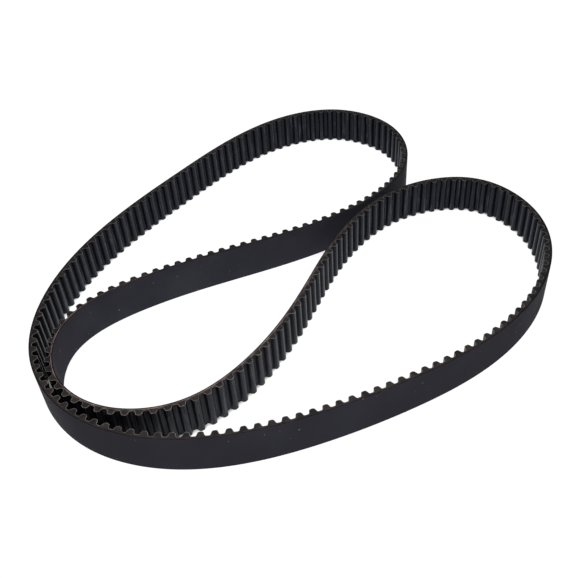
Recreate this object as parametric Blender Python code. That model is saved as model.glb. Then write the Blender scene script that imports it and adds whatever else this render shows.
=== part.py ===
"""Timing belt: 220 teeth at 8 mm pitch, 28 mm wide, lying loose on its cut edge.

The belt is a laminate of four endless plies, each its own solid: the backing rubber, the layer of
tensile cords, the tooth rubber and the facing fabric over the teeth. All four follow one closed
line, the pitch line, which runs through the middle of the cords. A place in the section is
(along, out): along the pitch line, and out from it towards the toothed side.
"""

from math import radians, tan

import bmesh
import bpy
import numpy as np

# Driving dimensions, in metres and degrees.
PITCH = 0.008
TEETH = 220
WIDTH = 0.028
TOOTH_HEIGHT = 0.00305
TOOTH_ROOT_HALF_WIDTH = 0.00255
FLANK_ANGLE = 18.0

# Ply thicknesses, from the toothed face to the smooth back, and the clearance between two plies.
FACING = 0.0003
LAND_RUBBER = 0.0002
CORD = 0.0007
BACKING = 0.0007
CLEARANCE = 0.00005

# The pitch line as the belt lies, seen from above: clockwise, with the teeth on the right.
LAY = [
    (-0.155, -0.130),
    (-0.170, -0.100),
    (-0.170, -0.040),
    (-0.150, 0.010),
    (-0.115, 0.060),
    (-0.085, 0.095),
    (-0.035, 0.145),
    (0.015, 0.170),
    (0.045, 0.170),
    (0.085, 0.140),
    (0.090, 0.080),
    (0.040, 0.025),
    (-0.015, 0.000),
    (-0.060, -0.015),
    (-0.110, -0.035),
    (-0.155, -0.075),
    (-0.153, -0.116),
    (-0.120, -0.145),
    (-0.075, -0.145),
    (-0.040, -0.120),
    (0.000, -0.060),
    (0.020, -0.020),
    (0.090, 0.050),
    (0.140, 0.050),
    (0.170, 0.010),
    (0.165, -0.050),
    (0.115, -0.110),
    (0.060, -0.140),
    (0.005, -0.160),
    (-0.040, -0.170),
    (-0.085, -0.170),
    (-0.135, -0.150),
]
FIRST_TOOTH = 0.9  # where the first tooth stands, in pitches along the pitch line
CURVE_STEPS = 400  # points on each span of the pitch line before it is measured out
SLOPE_STEP = 0.0005  # half the length over which the pitch line's direction is taken

BELT_LENGTH = TEETH * PITCH
ROOT_OUT = CORD / 2 + CLEARANCE + LAND_RUBBER + CLEARANCE + FACING
TIP_OUT = ROOT_OUT + TOOTH_HEIGHT
BACK_OUT = -(CORD / 2 + CLEARANCE + BACKING)

PLY_LOOKS = {
    "backing_rubber": ((0.031, 0.031, 0.036), 0.62),
    "tensile_cords": ((0.30, 0.17, 0.11), 0.70),
    "tooth_rubber": ((0.022, 0.021, 0.022), 0.70),
    "facing_fabric": ((0.012, 0.012, 0.014), 0.80),
}


def clear_scene():
    for old in list(bpy.data.objects):
        bpy.data.objects.remove(old, do_unlink=True)


def span_slopes(points, lengths):
    """The slopes of the closed cubic spline at its points, which make its curvature continuous."""
    count = len(points)
    matrix = np.zeros((count, count))
    right = np.zeros((count, 2))
    for i in range(count):
        before, after = lengths[i - 1], lengths[i]
        chord_before = (points[i] - points[i - 1]) / before
        chord_after = (points[(i + 1) % count] - points[i]) / after
        matrix[i, i - 1] += after
        matrix[i, i] += 2 * (before + after)
        matrix[i, (i + 1) % count] += before
        right[i] = 3 * (after * chord_before + before * chord_after)
    return np.linalg.solve(matrix, right)


def pitch_line():
    """The closed line through LAY as close points, scaled to the belt's length, with the running length."""
    points = np.array(LAY)
    nexts = np.roll(points, -1, axis=0)
    lengths = np.linalg.norm(nexts - points, axis=1)
    slopes = span_slopes(points, lengths)
    t = np.linspace(0, 1, CURVE_STEPS, endpoint=False)[:, None]
    spans = []
    for i, length in enumerate(lengths):
        leave, arrive = slopes[i] * length, slopes[(i + 1) % len(points)] * length
        spans.append(
            (2 * t**3 - 3 * t**2 + 1) * points[i]
            + (t**3 - 2 * t**2 + t) * leave
            + (3 * t**2 - 2 * t**3) * nexts[i]
            + (t**3 - t**2) * arrive
        )
    line = np.concatenate(spans)
    line = np.vstack([line, line[:1]])
    run = np.concatenate([[0], np.cumsum(np.linalg.norm(np.diff(line, axis=0), axis=1))])
    scale = BELT_LENGTH / run[-1]
    return line * scale, run * scale


def along_line(line, run, along):
    along = np.mod(along, BELT_LENGTH)
    return np.stack([np.interp(along, run, line[:, axis]) for axis in (0, 1)], axis=1)


def laid(line, run, along, out):
    """Places in the section, bent round the pitch line, as points seen from above."""
    ahead = along_line(line, run, along + SLOPE_STEP)
    behind = along_line(line, run, along - SLOPE_STEP)
    forward = (ahead - behind) / np.linalg.norm(ahead - behind, axis=1)[:, None]
    to_the_right = np.stack([forward[:, 1], -forward[:, 0]], axis=1)
    return along_line(line, run, along) + to_the_right * np.asarray(out)[:, None]


def smooth_ply(back_out, front_out):
    """One pitch of a ply with two smooth faces: its places, and the faces of its flat section."""
    places = [(-PITCH / 2, back_out), (-PITCH / 2, front_out)]
    return places, [(0, 2, 3, 1)]


def toothed_face(depth):
    """One pitch of the toothed face, or of a face this far under it and parallel to it."""
    flank = radians(FLANK_ANGLE)
    root = TOOTH_ROOT_HALF_WIDTH - depth * tan(radians(45) - flank / 2)
    tip = root - TOOTH_HEIGHT * tan(flank)
    root_out, tip_out = ROOT_OUT - depth, TIP_OUT - depth
    return [(-root, root_out), (-tip, tip_out), (tip, tip_out), (root, root_out)]


def tooth_ply():
    """The teeth, joined by a thin land: one face for a tooth and one for the land after it."""
    places = [(-PITCH / 2, CORD / 2 + CLEARANCE), *toothed_face(FACING + CLEARANCE)]
    return places, [(0, 5, 4, 3, 2, 1), (4, 5, 6)]


def facing_ply():
    """The fabric, an even sheet over the flanks, tips and lands."""
    places = [*toothed_face(FACING), *toothed_face(0)]
    return places, [(0, 1, 5, 4), (1, 2, 6, 5), (2, 3, 7, 6), (3, 8, 12, 7)]


def ply_material(name):
    colour, roughness = PLY_LOOKS[name]
    material = bpy.data.materials.new(name)
    material.use_nodes = True
    shader = material.node_tree.nodes["Principled BSDF"]
    shader.inputs["Base Color"].default_value = (*colour, 1)
    shader.inputs["Roughness"].default_value = roughness
    shader.inputs["Metallic"].default_value = 0
    material.diffuse_color = (*colour, 1)
    return material


def add_ply(name, one_pitch, line, run, middle, belt):
    """A ply: its flat section repeated at every pitch along the belt, then drawn up to the width."""
    places, section_faces = one_pitch
    along, out = np.array(places).T
    starts = (np.arange(TEETH) + FIRST_TOOTH) * PITCH
    along = (starts[:, None] + along).ravel()
    points = laid(line, run, along, np.tile(out, TEETH)) - middle
    shape = bmesh.new()
    corners = [shape.verts.new((x, y, 0)) for x, y in points]
    section = []
    for tooth in range(TEETH):
        for face in section_faces:
            numbers = [(tooth * len(places) + number) % len(corners) for number in face]
            section.append(shape.faces.new([corners[number] for number in numbers]))
    drawn = bmesh.ops.extrude_face_region(shape, geom=section)["geom"]
    upper = [item for item in drawn if isinstance(item, bmesh.types.BMVert)]
    bmesh.ops.translate(shape, vec=(0, 0, WIDTH), verts=upper)
    bmesh.ops.recalc_face_normals(shape, faces=shape.faces)
    mesh = bpy.data.meshes.new(name)
    shape.to_mesh(mesh)
    shape.free()
    mesh.materials.append(ply_material(name))
    belt.objects.link(bpy.data.objects.new(name, mesh))


def build_belt():
    belt = bpy.data.collections.new("timing_belt")
    bpy.context.scene.collection.children.link(belt)
    line, run = pitch_line()
    back = laid(line, run, run, np.full(len(run), BACK_OUT))
    middle = (back.min(axis=0) + back.max(axis=0)) / 2
    plies = {
        "backing_rubber": smooth_ply(BACK_OUT, -CORD / 2 - CLEARANCE),
        "tensile_cords": smooth_ply(-CORD / 2, CORD / 2),
        "tooth_rubber": tooth_ply(),
        "facing_fabric": facing_ply(),
    }
    for name, one_pitch in plies.items():
        add_ply(name, one_pitch, line, run, middle, belt)


clear_scene()
build_belt()
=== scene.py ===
"""The looks of the timing belt: its plies as fine meshes, with their rubber, fabric and cord.

Every ply follows one closed line, the pitch line, which runs through the middle of the cords.
A place in the section is (along, out): along that line, and out from it towards the toothed side.
"""

from math import ceil, cos, pi, radians, sin, tan

import bmesh
import bpy
import numpy as np
from mathutils import Matrix, Vector


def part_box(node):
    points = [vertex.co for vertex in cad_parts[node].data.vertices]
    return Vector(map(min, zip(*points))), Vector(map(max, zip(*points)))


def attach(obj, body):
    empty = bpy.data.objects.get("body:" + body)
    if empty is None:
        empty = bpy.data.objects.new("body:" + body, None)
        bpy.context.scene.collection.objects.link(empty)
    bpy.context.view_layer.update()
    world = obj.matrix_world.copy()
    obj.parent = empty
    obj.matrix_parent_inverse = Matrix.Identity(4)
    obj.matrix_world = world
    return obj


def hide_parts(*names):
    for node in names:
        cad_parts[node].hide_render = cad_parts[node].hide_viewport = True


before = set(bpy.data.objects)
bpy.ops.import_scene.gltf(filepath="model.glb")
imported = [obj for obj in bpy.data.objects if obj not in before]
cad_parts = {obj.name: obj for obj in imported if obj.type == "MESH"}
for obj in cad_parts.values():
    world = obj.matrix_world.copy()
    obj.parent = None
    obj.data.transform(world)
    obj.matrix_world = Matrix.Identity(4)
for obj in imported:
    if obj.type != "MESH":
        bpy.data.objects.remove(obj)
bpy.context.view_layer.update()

BODY = "root"

# The belt, in metres and degrees, as its solids have it.
PITCH = 0.008
TEETH = 220
BELT_LENGTH = TEETH * PITCH
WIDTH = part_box("backing_rubber")[1].z
TOOTH_HEIGHT = 0.00305
TOOTH_ROOT_HALF_WIDTH = 0.00255
FLANK_ANGLE = 18.0
FACING = 0.0003
CORD_RADIUS = 0.00035
CLEARANCE = 0.00005
LAND_OUT = 0.00095  # how far out the fabric's face is on the lands, and then the smooth back
BACK_OUT = -0.0011
BACKING_FRONT_OUT = -CORD_RADIUS - CLEARANCE

# The pitch line as the belt lies, seen from above: clockwise, with the teeth on the right.
LAY = [
    (-0.155, -0.130),
    (-0.170, -0.100),
    (-0.170, -0.040),
    (-0.150, 0.010),
    (-0.115, 0.060),
    (-0.085, 0.095),
    (-0.035, 0.145),
    (0.015, 0.170),
    (0.045, 0.170),
    (0.085, 0.140),
    (0.090, 0.080),
    (0.040, 0.025),
    (-0.015, 0.000),
    (-0.060, -0.015),
    (-0.110, -0.035),
    (-0.155, -0.075),
    (-0.153, -0.116),
    (-0.120, -0.145),
    (-0.075, -0.145),
    (-0.040, -0.120),
    (0.000, -0.060),
    (0.020, -0.020),
    (0.090, 0.050),
    (0.140, 0.050),
    (0.170, 0.010),
    (0.165, -0.050),
    (0.115, -0.110),
    (0.060, -0.140),
    (0.005, -0.160),
    (-0.040, -0.170),
    (-0.085, -0.170),
    (-0.135, -0.150),
]
FIRST_TOOTH = 0.9  # where the first tooth stands, in pitches along the pitch line
CURVE_STEPS = 400  # points on each span of the pitch line before it is measured out
SLOPE_STEP = 0.0005  # half the length over which the pitch line's direction is taken

# The fine shape of a tooth.
TIP_RADIUS = 0.0015
ROOT_RADIUS = 0.0010
TIP_STEPS = 6
ROOT_STEPS = 5

# The cut edges: how far rubber and fabric stand back from the cords, and how round the corners are.
RUBBER_SETBACK = 0.00002
FACING_SETBACK = 0.00004
BACKING_CORNER = 0.00012
FACING_CORNER = 0.00006
CORNER_STEPS = 2
FRAY = 0.00003  # how far the fabric's cut edge strays either way
FRAY_SEED = 8

BACKING_STEPS = 5  # lengths of the backing's mesh in one pitch
SHARP_ANGLE = 35.0  # edges that bend more than this stay sharp
THREAD_SPACING = 0.00045  # between the threads of the woven facing

# The cords: two, wound side by side.
CORD_SPACING = 0.0009
CORD_RISE = 2 * CORD_SPACING  # how far a cord climbs in one turn
CORD_SIDES = 6
CORD_STEP = PITCH / 2
CORD_START = 0.30  # where the first cord starts at the lower edge, as a share of the belt's length
BARED_MIDDLE = 0.53  # where the knife left the cords barest; away from it they are smeared with rubber


# ---- The pitch line ----------------------------------------------------------------------------


def span_slopes(points, lengths):
    """The slopes of the closed cubic spline at its points, which make its curvature continuous."""
    count = len(points)
    matrix = np.zeros((count, count))
    right = np.zeros((count, 2))
    for i in range(count):
        before, after = lengths[i - 1], lengths[i]
        chord_before = (points[i] - points[i - 1]) / before
        chord_after = (points[(i + 1) % count] - points[i]) / after
        matrix[i, i - 1] += after
        matrix[i, i] += 2 * (before + after)
        matrix[i, (i + 1) % count] += before
        right[i] = 3 * (after * chord_before + before * chord_after)
    return np.linalg.solve(matrix, right)


def pitch_line():
    """The closed line through LAY as close points, scaled to the belt's length, and its running length."""
    points = np.array(LAY)
    nexts = np.roll(points, -1, axis=0)
    lengths = np.linalg.norm(nexts - points, axis=1)
    slopes = span_slopes(points, lengths)
    t = np.linspace(0, 1, CURVE_STEPS, endpoint=False)[:, None]
    spans = []
    for i, length in enumerate(lengths):
        leave, arrive = slopes[i] * length, slopes[(i + 1) % len(points)] * length
        spans.append(
            (2 * t**3 - 3 * t**2 + 1) * points[i]
            + (t**3 - 2 * t**2 + t) * leave
            + (3 * t**2 - 2 * t**3) * nexts[i]
            + (t**3 - t**2) * arrive
        )
    line = np.concatenate(spans)
    line = np.vstack([line, line[:1]])
    run = np.concatenate([[0], np.cumsum(np.linalg.norm(np.diff(line, axis=0), axis=1))])
    scale = BELT_LENGTH / run[-1]
    return line * scale, run * scale


LINE, RUN = pitch_line()


def along_line(along):
    """Points on the pitch line, this far along it."""
    along = np.mod(along, BELT_LENGTH)
    return np.stack([np.interp(along, RUN, LINE[:, axis]) for axis in (0, 1)], axis=-1)


def bent(along, out):
    """Places in the section, bent round the pitch line, as points seen from above."""
    ahead = along_line(along + SLOPE_STEP)
    behind = along_line(along - SLOPE_STEP)
    forward = (ahead - behind) / np.linalg.norm(ahead - behind, axis=-1)[..., None]
    to_the_right = np.stack([forward[..., 1], -forward[..., 0]], axis=-1)
    return along_line(along) + to_the_right * np.asarray(out)[..., None]


back_line = bent(RUN, np.full(len(RUN), BACK_OUT))
MIDDLE = (back_line.min(axis=0) + back_line.max(axis=0)) / 2


def placed(along, out, up):
    """Points of the belt in the row frame."""
    along, out, up = np.broadcast_arrays(along, out, up)
    flat = bent(along, out) - MIDDLE
    return np.concatenate([flat, up[..., None]], axis=-1)


# ---- Meshes ------------------------------------------------------------------------------------


def ring_mesh(name, points, run, total_run, across, faces_of_ring, materials):
    """A closed solid from rings of points, which close on themselves and on each other.

    points[i, j] is point j round ring i. run[i, j] and across[j] become the UV map, with run
    continuing to total_run where the belt closes. faces_of_ring[j] is the material's number.
    """
    rings, sides = points.shape[:2]
    here = np.arange(rings * sides).reshape(rings, sides)
    ahead = np.roll(here, -1, axis=0)
    quads = np.stack([here, ahead, np.roll(ahead, -1, axis=1), np.roll(here, -1, axis=1)], axis=-1)
    mesh = bpy.data.meshes.new(name)
    mesh.from_pydata(points.reshape(-1, 3), [], quads.reshape(-1, 4))
    run_ahead = np.roll(run, -1, axis=0)
    run_ahead[-1] += total_run
    u = np.stack([run, run_ahead, np.roll(run_ahead, -1, axis=1), np.roll(run, -1, axis=1)], axis=-1)
    v = np.broadcast_to(across, (rings, sides))
    v_beside = np.roll(v, -1, axis=1)
    v = np.stack([v, v, v_beside, v_beside], axis=-1)
    uv = np.stack([u / total_run, v], axis=-1).astype(np.float32)
    mesh.uv_layers.new(name="belt").data.foreach_set("uv", uv.ravel())
    mesh.polygons.foreach_set("material_index", np.tile(faces_of_ring, rings).astype(np.int32))
    finish_mesh(mesh, materials)
    return bpy.data.objects.new(name, mesh)


def finish_mesh(mesh, materials):
    """Gives a mesh its materials, and smooth shading with sharp corners."""
    for material in materials:
        mesh.materials.append(material)
    mesh.shade_smooth()
    mesh.set_sharp_from_angle(angle=radians(SHARP_ANGLE))
    mesh.validate()
    mesh.update()


def arc(centre, radius, start, turn, steps):
    """Points on an arc from the angle start to start + turn, with their directions from its centre."""
    angles = start + turn * np.linspace(0, 1, steps + 1)
    away = np.stack([np.cos(angles), np.sin(angles)], axis=1)
    return np.asarray(centre) + radius * away, away


def tooth_outline():
    """The toothed face over one pitch, from the middle of a land, as points and outward normals."""
    lean = radians(90 - FLANK_ANGLE)
    root_tangent = ROOT_RADIUS * tan(lean / 2)
    tip_tangent = TIP_RADIUS * tan(lean / 2)
    root_start = -TOOTH_ROOT_HALF_WIDTH - root_tangent
    tip_half = TOOTH_ROOT_HALF_WIDTH - TOOTH_HEIGHT * tan(radians(FLANK_ANGLE))
    root, root_away = arc((root_start, ROOT_RADIUS), ROOT_RADIUS, -pi / 2, lean, ROOT_STEPS)
    tip, tip_away = arc((-tip_half + tip_tangent, TOOTH_HEIGHT - TIP_RADIUS), TIP_RADIUS,
                        pi / 2 + lean, -lean, TIP_STEPS)
    flank, flank_away = (root[-1:] + tip[:1]) / 2, tip_away[:1]
    half = np.concatenate([root, flank, tip])
    half_away = np.concatenate([-root_away, flank_away, tip_away])
    mirror = np.array([-1, 1])
    points = np.concatenate([[(-PITCH / 2, 0)], half, [(0, TOOTH_HEIGHT)], half[::-1] * mirror])
    away = np.concatenate([[(0, 1)], half_away, [(0, 1)], half_away[::-1] * mirror])
    return points, away


def toothed_columns(depth):
    """Along and out of every column of the toothed face, or of the face this far under it."""
    points, away = tooth_outline()
    points = points - away * depth
    starts = (np.arange(TEETH) + FIRST_TOOTH) * PITCH
    along = (starts[:, None] + points[:, 0]).ravel()
    out = np.tile(LAND_OUT + points[:, 1], TEETH)
    return along, out


def developed_run():
    """The length along the toothed face at every column, and its whole length."""
    points, _ = tooth_outline()
    around = np.vstack([points, points[:1] + (PITCH, 0)])
    steps = np.linalg.norm(np.diff(around, axis=0), axis=1)
    one = np.concatenate([[0], np.cumsum(steps)])
    return (np.arange(TEETH)[:, None] * one[-1] + one[:-1]).ravel(), one[-1] * TEETH


def set_tooth_height(mesh, out, sides):
    """Stores how high up the tooth each point is, from 0 on the land to 1 at the tip."""
    height = np.repeat((out - LAND_OUT) / TOOTH_HEIGHT, sides).astype(np.float32)
    mesh.attributes.new("tooth_height", "FLOAT", "POINT").data.foreach_set("value", height)


# ---- Materials ---------------------------------------------------------------------------------


def node(tree, kind, inputs=(), **settings):
    """Adds a shader node; an input is given a value or the socket that drives it."""
    made = tree.nodes.new("ShaderNode" + kind)
    for name, value in settings.items():
        setattr(made, name, value)
    for name, value in dict(inputs).items():
        if isinstance(value, bpy.types.NodeSocket):
            tree.links.new(value, made.inputs[name])
        else:
            made.inputs[name].default_value = value
    return made.outputs


def maths(tree, operation, a, b=0.5):
    """One sum; operations on a single value leave b unused."""
    return node(tree, "Math", {0: a, 1: b}, operation=operation)[0]


def between(tree, value, low, high, to_low=0.0, to_high=1.0):
    """The value eased from the range low to high into the range to_low to to_high."""
    inputs = {"Value": value, "From Min": low, "From Max": high, "To Min": to_low, "To Max": to_high}
    return node(tree, "MapRange", inputs, interpolation_type="SMOOTHSTEP")["Result"]


def noise(tree, vector, scale, detail, roughness):
    """Noise about 0.5, with this many spots to a metre."""
    inputs = {"Vector": vector, "Scale": scale, "Detail": detail, "Roughness": roughness}
    return node(tree, "TexNoise", inputs)["Fac"]


def mixed(tree, factor, a, b):
    """One colour faded into another. A mix node has sockets for each type: these are for colours."""
    return node(tree, "Mix", {0: factor, 6: a, 7: b}, data_type="RGBA")[2]


def bump(tree, height, distance, strength, normal=None):
    """The normal over this relief, on top of the one given."""
    inputs = {"Height": height, "Distance": distance, "Strength": strength}
    if normal is not None:
        inputs["Normal"] = normal
    return node(tree, "Bump", inputs)["Normal"]


def belt_place(tree):
    """Where a point lies on the belt: its share of the way round, and its height, as two values."""
    uv = node(tree, "UVMap", uv_map="belt")["UV"]
    parts = node(tree, "SeparateXYZ", {0: uv})
    return parts["X"], parts["Y"]


def wound_place(tree, stretch):
    """A place for noise that closes on itself round the belt, drawn out along it by this much."""
    share, up = belt_place(tree)
    angle = maths(tree, "MULTIPLY", share, 2 * pi)
    reach = BELT_LENGTH / (2 * pi) / stretch
    x = maths(tree, "MULTIPLY", maths(tree, "COSINE", angle), reach)
    y = maths(tree, "MULTIPLY", maths(tree, "SINE", angle), reach)
    return node(tree, "CombineXYZ", {"X": x, "Y": y, "Z": up})[0]


def start_material(name, specular, tint=(1, 1, 1), roughness=0.6):
    """A new material, with its node tree and its main shader."""
    material = bpy.data.materials.new(name)
    material.use_nodes = True
    shader = material.node_tree.nodes["Principled BSDF"]
    shader.inputs["Roughness"].default_value = roughness
    shader.inputs["Specular IOR Level"].default_value = specular
    shader.inputs["Specular Tint"].default_value = (*tint, 1)
    return material, material.node_tree, shader


def object_place(tree):
    """A point's place in the row frame, in metres."""
    return node(tree, "TexCoord")["Object"]


def ground_rubber():
    """The back: charcoal rubber, ground to thickness, so its grain runs along the belt."""
    material, tree, shader = start_material("ground_rubber", specular=0.03, tint=(0.80, 0.82, 1.0))
    place = object_place(tree)
    cloud = between(tree, noise(tree, place, 26.0, 3.0, 0.55), 0.35, 0.68)
    streak = noise(tree, wound_place(tree, 40.0), 1400.0, 3.0, 0.6)
    grain = noise(tree, place, 3800.0, 2.0, 0.6)
    colour = mixed(tree, cloud, (0.0240, 0.0241, 0.0315, 1), (0.0322, 0.0323, 0.0412, 1))
    colour = mixed(tree, between(tree, streak, 0.52, 0.80, 0.0, 0.35), colour, (0.034, 0.033, 0.038, 1))
    colour = mixed(tree, between(tree, grain, 0.66, 0.80, 0.0, 0.45), colour, (0.050, 0.049, 0.052, 1))
    speck = noise(tree, place, 700.0, 0.0, 0.5)
    colour = mixed(tree, between(tree, speck, 0.850, 0.865), colour, (0.16, 0.155, 0.15, 1))
    tree.links.new(colour, shader.inputs["Base Color"])
    rough = between(tree, maths(tree, "ADD", cloud, streak), 0.4, 1.4, 0.62, 0.78)
    tree.links.new(rough, shader.inputs["Roughness"])
    normal = bump(tree, streak, 0.00004, 0.5)
    normal = bump(tree, grain, 0.00003, 0.7, normal)
    tree.links.new(normal, shader.inputs["Normal"])
    return material


def cut_rubber(name, dark, light):
    """Rubber where the knife went through: dull, torn a little, with fine marks along the cut."""
    material, tree, shader = start_material(name, specular=0.08)
    place = object_place(tree)
    grain = noise(tree, place, 2600.0, 3.0, 0.6)
    blotch = noise(tree, place, 160.0, 3.0, 0.6)
    colour = mixed(tree, between(tree, blotch, 0.35, 0.65), dark, light)
    colour = mixed(tree, between(tree, grain, 0.62, 0.80, 0.0, 0.5), colour, (0.085, 0.072, 0.066, 1))
    tree.links.new(colour, shader.inputs["Base Color"])
    tree.links.new(between(tree, grain, 0.3, 0.7, 0.6, 0.85), shader.inputs["Roughness"])
    tree.links.new(bump(tree, grain, 0.00005, 0.8), shader.inputs["Normal"])
    return material


def woven_facing(total_run):
    """The toothed side: black nylon fabric, paler where it is worn, on the tips and the lands; the paler
    tips are partly painted light, and the flanks carry painted shade.
    """
    material, tree, shader = start_material("woven_facing", specular=0.26, tint=(0.70, 0.76, 1.0))
    place = object_place(tree)
    share, up = belt_place(tree)
    height = node(tree, "Attribute", attribute_name="tooth_height")["Fac"]
    threads = round(total_run / THREAD_SPACING)
    along = maths(tree, "MULTIPLY", share, float(threads))
    across = maths(tree, "MULTIPLY", up, 1 / THREAD_SPACING)
    warp = maths(tree, "ABSOLUTE", maths(tree, "SINE", maths(tree, "MULTIPLY", along, pi)))
    weft = maths(tree, "ABSOLUTE", maths(tree, "SINE", maths(tree, "MULTIPLY", across, pi)))
    over = maths(tree, "ADD", maths(tree, "FLOOR", along), maths(tree, "FLOOR", across))
    over = maths(tree, "FLOORED_MODULO", over, 2.0)
    warp = maths(tree, "MULTIPLY", warp, over)
    weft = maths(tree, "MULTIPLY", weft, maths(tree, "SUBTRACT", 1.0, over))
    weave = maths(tree, "ADD", warp, weft)
    worn = noise(tree, place, 420.0, 3.0, 0.6)
    cloud = noise(tree, place, 40.0, 2.0, 0.5)
    upright = node(tree, "VectorMath", {0: place, 1: (1.0, 1.0, 0.06)}, operation="MULTIPLY")[0]
    rub = noise(tree, upright, 760.0, 3.0, 0.65)
    # On the tips the fabric is paler: partly worn, and partly painted light, which leaves the gaps between
    # teeth darker as painted shade.
    on_tip = between(tree, height, 0.45, 1.0)
    rubbed_and_painted_light = maths(tree, "MULTIPLY", on_tip, between(tree, worn, 0.30, 0.62, 0.35, 1.0))
    black, paler = (0.0018, 0.0018, 0.0028, 1), (0.0045, 0.0045, 0.0058, 1)
    colour = mixed(tree, maths(tree, "MULTIPLY", rubbed_and_painted_light, 0.35), black, paler)
    colour = mixed(tree, between(tree, cloud, 0.4, 0.7, 0.0, 0.2), colour, (0.010, 0.010, 0.010, 1))
    # The pale rub streak marks are wear, but they are kept off the flanks, so the flanks stay darker than
    # the tips and lands: painted shade on the flanks.
    from_middle = maths(tree, "ABSOLUTE", maths(tree, "SUBTRACT", height, 0.5))
    flank_painted_shade = between(tree, from_middle, 0.25, 0.45, 0.15, 1.0)
    rub_streaks_with_flank_shade = maths(tree, "MULTIPLY", between(tree, rub, 0.54, 0.66, 0.0, 0.9), flank_painted_shade)
    colour = mixed(tree, rub_streaks_with_flank_shade, colour, (0.048, 0.048, 0.054, 1))
    colour = mixed(tree, between(tree, weave, 0.2, 1.0, 0.25, 0.0), colour, (0.002, 0.002, 0.003, 1))
    tree.links.new(colour, shader.inputs["Base Color"])
    tree.links.new(between(tree, rubbed_and_painted_light, 0.0, 1.0, 0.42, 0.38), shader.inputs["Roughness"])
    normal = bump(tree, weave, 0.00006, 0.35)
    normal = bump(tree, worn, 0.00006, 0.4, normal)
    tree.links.new(normal, shader.inputs["Normal"])
    return material


def cut_threads():
    """The facing's cut edge: the ends of its nylon threads, paler than its face."""
    material, tree, shader = start_material("cut_threads", specular=0.1)
    place = object_place(tree)
    ends = noise(tree, place, 1900.0, 2.0, 0.6)
    blotch = noise(tree, place, 120.0, 3.0, 0.6)
    dark, pale = (0.066, 0.062, 0.058, 1), (0.250, 0.236, 0.220, 1)
    colour = mixed(tree, between(tree, ends, 0.35, 0.65), dark, pale)
    colour = mixed(tree, between(tree, blotch, 0.45, 0.70, 0.0, 0.7), colour, (0.050, 0.045, 0.041, 1))
    tree.links.new(colour, shader.inputs["Base Color"])
    tree.links.new(bump(tree, ends, 0.00008, 0.8), shader.inputs["Normal"])
    return material


def dipped_cord():
    """Fibreglass cord in its brown dip, with the lines of its strands, and smeared with rubber."""
    material, tree, shader = start_material("dipped_cord", specular=0.12)
    place = object_place(tree)
    fibres = noise(tree, wound_place(tree, 30.0), 5200.0, 2.0, 0.6)
    blotch = noise(tree, place, 90.0, 3.0, 0.6)
    dark, pale = (0.082, 0.048, 0.044, 1), (0.290, 0.203, 0.192, 1)
    colour = mixed(tree, between(tree, fibres, 0.3, 0.7), dark, pale)
    colour = mixed(tree, between(tree, blotch, 0.45, 0.65, 0.0, 0.7), colour, (0.070, 0.042, 0.037, 1))
    share, _ = belt_place(tree)
    from_bared = maths(tree, "ABSOLUTE", maths(tree, "SUBTRACT", share, BARED_MIDDLE))
    smeared = between(tree, from_bared, 0.03, 0.16, 0.0, 0.92)
    colour = mixed(tree, smeared, colour, (0.022, 0.018, 0.018, 1))
    tree.links.new(colour, shader.inputs["Base Color"])
    tree.links.new(bump(tree, fibres, 0.00005, 0.8), shader.inputs["Normal"])
    return material


# ---- The plies ---------------------------------------------------------------------------------


def show(piece, ply):
    """Adds a piece that stands for a ply, and hides the ply's own part."""
    bpy.context.scene.collection.objects.link(piece)
    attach(piece, BODY)
    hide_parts(ply)


def build_backing():
    """The backing, with the corners of its smooth face a little rounded."""
    low, high = RUBBER_SETBACK, WIDTH - RUBBER_SETBACK
    corner, in_from_back = BACKING_CORNER, BACK_OUT + BACKING_CORNER
    lower, _ = arc((in_from_back, low + corner), corner, -pi / 2, -pi / 2, CORNER_STEPS)
    upper, _ = arc((in_from_back, high - corner), corner, pi, -pi / 2, CORNER_STEPS)
    # A row of points close to each corner keeps the shading of the smooth face flat.
    flat = [(BACK_OUT, low + 3 * corner), (BACK_OUT, high - 3 * corner)]
    inner_low, inner_high = [(BACKING_FRONT_OUT, low)], [(BACKING_FRONT_OUT, high)]
    section = np.concatenate([inner_low, lower, flat, upper, inner_high])
    along = np.arange(TEETH * BACKING_STEPS) * PITCH / BACKING_STEPS
    points = placed(along[:, None], section[:, 0], section[:, 1])
    run = np.repeat(along[:, None], len(section), axis=1)
    faces = np.zeros(len(section))
    faces[[0, -2]] = 1  # the two cut edges
    dark, light = (0.0065, 0.0060, 0.0072, 1), (0.0130, 0.0115, 0.0124, 1)
    materials = [ground_rubber(), cut_rubber("cut_backing", dark, light)]
    across = section[:, 1]
    backing = ring_mesh("backing_rubber_ply", points, run, BELT_LENGTH, across, faces, materials)
    show(backing, "backing_rubber")


def build_tooth_rubber():
    """The teeth under their fabric, and the rubber between and round the cords."""
    low, high = RUBBER_SETBACK, WIDTH - RUBBER_SETBACK
    along, out = toothed_columns(FACING)
    points = np.stack([
        placed(along, BACKING_FRONT_OUT, low),
        placed(along, BACKING_FRONT_OUT, high),
        placed(along, out, high),
        placed(along, out, low),
    ], axis=1)
    across = np.array([low, high, high, low])
    run = np.repeat(along[:, None] - along[0], len(across), axis=1)
    faces = np.zeros(len(across))
    dark, light = (0.0160, 0.0145, 0.0146, 1), (0.0360, 0.0305, 0.0290, 1)
    materials = [cut_rubber("cut_tooth_rubber", dark, light)]
    teeth = ring_mesh("tooth_rubber_ply", points, run, BELT_LENGTH, across, faces, materials)
    show(teeth, "tooth_rubber")


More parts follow.
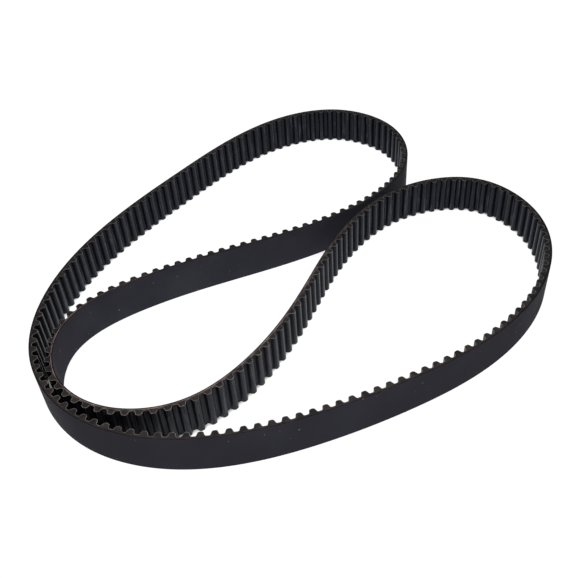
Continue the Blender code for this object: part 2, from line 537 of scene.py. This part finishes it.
def build_facing():
    """The fabric: its outer and inner faces, and its cut edges, a little uneven."""
    outer_along, outer_out = toothed_columns(0)
    mid_along, mid_out = toothed_columns(FACING_CORNER)
    inner_along, inner_out = toothed_columns(FACING)
    fray = np.random.default_rng(FRAY_SEED).uniform(-FRAY, FRAY, (2, len(outer_out)))
    low = FACING_SETBACK + fray[0]
    high = WIDTH - FACING_SETBACK + fray[1]
    points = np.stack([
        placed(inner_along, inner_out, low),
        placed(inner_along, inner_out, high),
        placed(mid_along, mid_out, high),
        placed(outer_along, outer_out, high - FACING_CORNER),
        placed(outer_along, outer_out, low + FACING_CORNER),
        placed(mid_along, mid_out, low),
    ], axis=1)
    run, total = developed_run()
    across = np.array([0, WIDTH, WIDTH, WIDTH, 0, 0])
    faces = np.array([0, 1, 1, 0, 1, 1])
    materials = [woven_facing(total), cut_threads()]
    run = np.repeat(run[:, None], len(across), axis=1)
    facing = ring_mesh("facing_fabric_ply", points, run, total, across, faces, materials)
    set_tooth_height(facing.data, outer_out, len(across))
    show(facing, "facing_fabric")


def cord_section(turns):
    """Out and up of the points round a cord after these turns, cut flush at the belt's edges."""
    middle_up = (-CORD_RADIUS + CORD_RISE * turns)[:, None]
    angles = 2 * pi * (np.arange(CORD_SIDES) + 0.5) / CORD_SIDES
    out = CORD_RADIUS * np.cos(angles)
    up = CORD_RADIUS * np.sin(angles) + middle_up
    for edge, beyond in ((0.0, up < 0), (WIDTH, up > WIDTH)):
        half_chord = np.sqrt(np.maximum(CORD_RADIUS**2 - (edge - middle_up) ** 2, 0))
        out = np.where(beyond, np.clip(out, -half_chord, half_chord), out)
        up = np.where(beyond, edge, up)
    return out, up


def cord_mesh(name, points, share, up):
    """A closed tube of rings of points, whose share of the way round and height are its UV map."""
    count, sides = up.shape
    here = np.arange(count * sides).reshape(count, sides)
    beside = np.roll(here, -1, axis=1)
    quads = np.stack([here[:-1], beside[:-1], beside[1:], here[1:]], axis=-1).reshape(-1, 4)
    faces = [*quads.tolist(), here[0][::-1].tolist(), here[-1].tolist()]
    mesh = bpy.data.meshes.new(name)
    mesh.from_pydata(points.reshape(-1, 3), [], faces)
    share = np.broadcast_to(share[:-1, None], (count - 1, sides))
    share_ahead = share + CORD_STEP / BELT_LENGTH
    up_beside = np.roll(up, -1, axis=1)
    u = np.stack([share, share, share_ahead, share_ahead], axis=-1)
    v = np.stack([up[:-1], up_beside[:-1], up_beside[1:], up[1:]], axis=-1)
    uv = np.stack([u, v], axis=-1).reshape(-1, 2)
    ends_uv = np.zeros((2 * sides, 2))
    uv = np.concatenate([uv, ends_uv]).astype(np.float32)
    mesh.uv_layers.new(name="belt").data.foreach_set("uv", uv.ravel())
    return mesh


def build_cord(name, start_turns, material):
    """One cord, wound from the lower cut edge to the upper one and cut flush where it meets them."""
    steps = ceil((WIDTH + 2 * CORD_RADIUS) / CORD_RISE * BELT_LENGTH / CORD_STEP)
    turns = np.arange(1, steps) * CORD_STEP / BELT_LENGTH
    out, up = cord_section(turns)
    round_by = turns + start_turns
    points = placed((round_by * BELT_LENGTH)[:, None], out, up)
    mesh = cord_mesh(name, points, np.mod(round_by, 1.0), up)
    finish_mesh(mesh, [material])
    show(bpy.data.objects.new(name, mesh), "tensile_cords")


def build_cords():
    """The two cords, each half a turn from the other."""
    material = dipped_cord()
    build_cord("tensile_cord_s", CORD_START, material)
    build_cord("tensile_cord_z", CORD_START + 0.5, material)


# ---- The floor, the light and the camera -------------------------------------------------------

# The camera: where it looks, how far off it is, how high up and how far rolled, in metres and
# degrees, and its lens and sensor in millimetres.
CAMERA_AIM = Vector((-0.0082, -0.0264, 0.0))
CAMERA_DISTANCE = 0.547
CAMERA_ELEVATION = 42.25
CAMERA_ROLL = -4.4
CAMERA_LENS = 48.0
CAMERA_SENSOR = 36.0

# The lights: where each stands, in degrees round from the camera and up, and metres off; then
# its size and its power.
LIGHTS = {
    "soft_key": (0.0, 56.0, 0.45, 0.20, 1.60),
    "back_fill": (180.0, 20.0, 0.90, 0.60, 1.2),
}
SURROUND = 0.08
# In narrow slots between two walls the floor's glow is dimmed: painted shade, where the walls would shade
# it.
STAGE_GLOW = 1.05  # how brightly the floor glows, and how brightly in a narrow slot between two walls
SLOT_GLOW = 0.05
SLOT_REACH = 0.025  # how far off walls shade the floor, and the open shares between which it darkens
SLOT_OPENNESS = (0.22, 0.42)
SLOT_SAMPLES = 8
BACKDROP_RADIUS = 12.0
FLOOR_SIDES = 96
BACKDROP_SIDES = 64


def add_camera():
    """A camera in front of the belt, looking down at it."""
    data = bpy.data.cameras.new("camera")
    data.sensor_width = CAMERA_SENSOR
    data.lens = CAMERA_LENS
    data.clip_start = 0.01
    data.clip_end = 50.0
    camera = bpy.data.objects.new("camera", data)
    elevation = radians(CAMERA_ELEVATION)
    back = Vector((0, -cos(elevation), sin(elevation)))
    turn = Matrix.Rotation(radians(90) - elevation, 4, "X") @ Matrix.Rotation(radians(CAMERA_ROLL), 4, "Z")
    camera.matrix_world = Matrix.Translation(CAMERA_AIM + back * CAMERA_DISTANCE) @ turn
    bpy.context.scene.collection.objects.link(camera)
    bpy.context.scene.camera = camera


def stage_material(name):
    """A white surface that glows, as a light table does, but little in the slots between two walls:
    painted shade, where the walls would shade the floor.
    """
    material, tree, shader = start_material(name, roughness=0.9, specular=0.0)
    shader.inputs["Base Color"].default_value = (0, 0, 0, 1)
    shader.inputs["Emission Color"].default_value = (1, 1, 1, 1)
    open_share = node(tree, "AmbientOcclusion", {"Distance": SLOT_REACH}, samples=SLOT_SAMPLES)["AO"]
    glow_with_painted_shade = between(tree, open_share, *SLOT_OPENNESS, SLOT_GLOW, STAGE_GLOW)
    tree.links.new(glow_with_painted_shade, shader.inputs["Emission Strength"])
    return material


def add_to_stage(name, shape, material_name):
    """A piece of the surroundings, from its finished shape."""
    mesh = bpy.data.meshes.new(name)
    shape.to_mesh(mesh)
    shape.free()
    mesh.materials.append(stage_material(material_name))
    piece = bpy.data.objects.new(name, mesh)
    bpy.context.scene.collection.objects.link(piece)
    return piece


def add_floor():
    """The white floor that the belt stands on."""
    shape = bmesh.new()
    bmesh.ops.create_circle(shape, cap_ends=True, segments=FLOOR_SIDES, radius=BACKDROP_RADIUS)
    add_to_stage("floor", shape, "pale_floor")


def add_backdrop():
    """A white surround that the camera sees, and that neither lights the belt nor shades it."""
    shape = bmesh.new()
    bmesh.ops.create_uvsphere(
        shape, u_segments=BACKDROP_SIDES, v_segments=BACKDROP_SIDES // 2, radius=BACKDROP_RADIUS
    )
    backdrop = add_to_stage("backdrop", shape, "white_backdrop")
    backdrop.visible_diffuse = False
    backdrop.visible_glossy = False
    backdrop.visible_shadow = False


def add_lights():
    """A soft light above the camera, a fill behind the belt, and a dim even surround."""
    world = bpy.data.worlds.new("studio")
    world.use_nodes = True
    surround = world.node_tree.nodes["Background"]
    surround.inputs["Color"].default_value = (1.0, 1.0, 1.0, 1)
    surround.inputs["Strength"].default_value = SURROUND
    bpy.context.scene.world = world
    for name, (round_by, up_by, distance, size, power) in LIGHTS.items():
        data = bpy.data.lights.new(name, "AREA")
        data.shape = "DISK"
        data.size = size
        data.energy = power
        light = bpy.data.objects.new(name, data)
        turn = Matrix.Rotation(radians(round_by), 4, "Z") @ Matrix.Rotation(radians(90 - up_by), 4, "X")
        light.matrix_world = turn @ Matrix.Translation((0, 0, distance))
        bpy.context.scene.collection.objects.link(light)


def set_colours():
    """The picture keeps the colours as they are, with no film look over them."""
    bpy.context.scene.view_settings.view_transform = "Standard"


build_backing()
build_tooth_rubber()
build_facing()
build_cords()
add_camera()
add_floor()
add_backdrop()
add_lights()
set_colours()
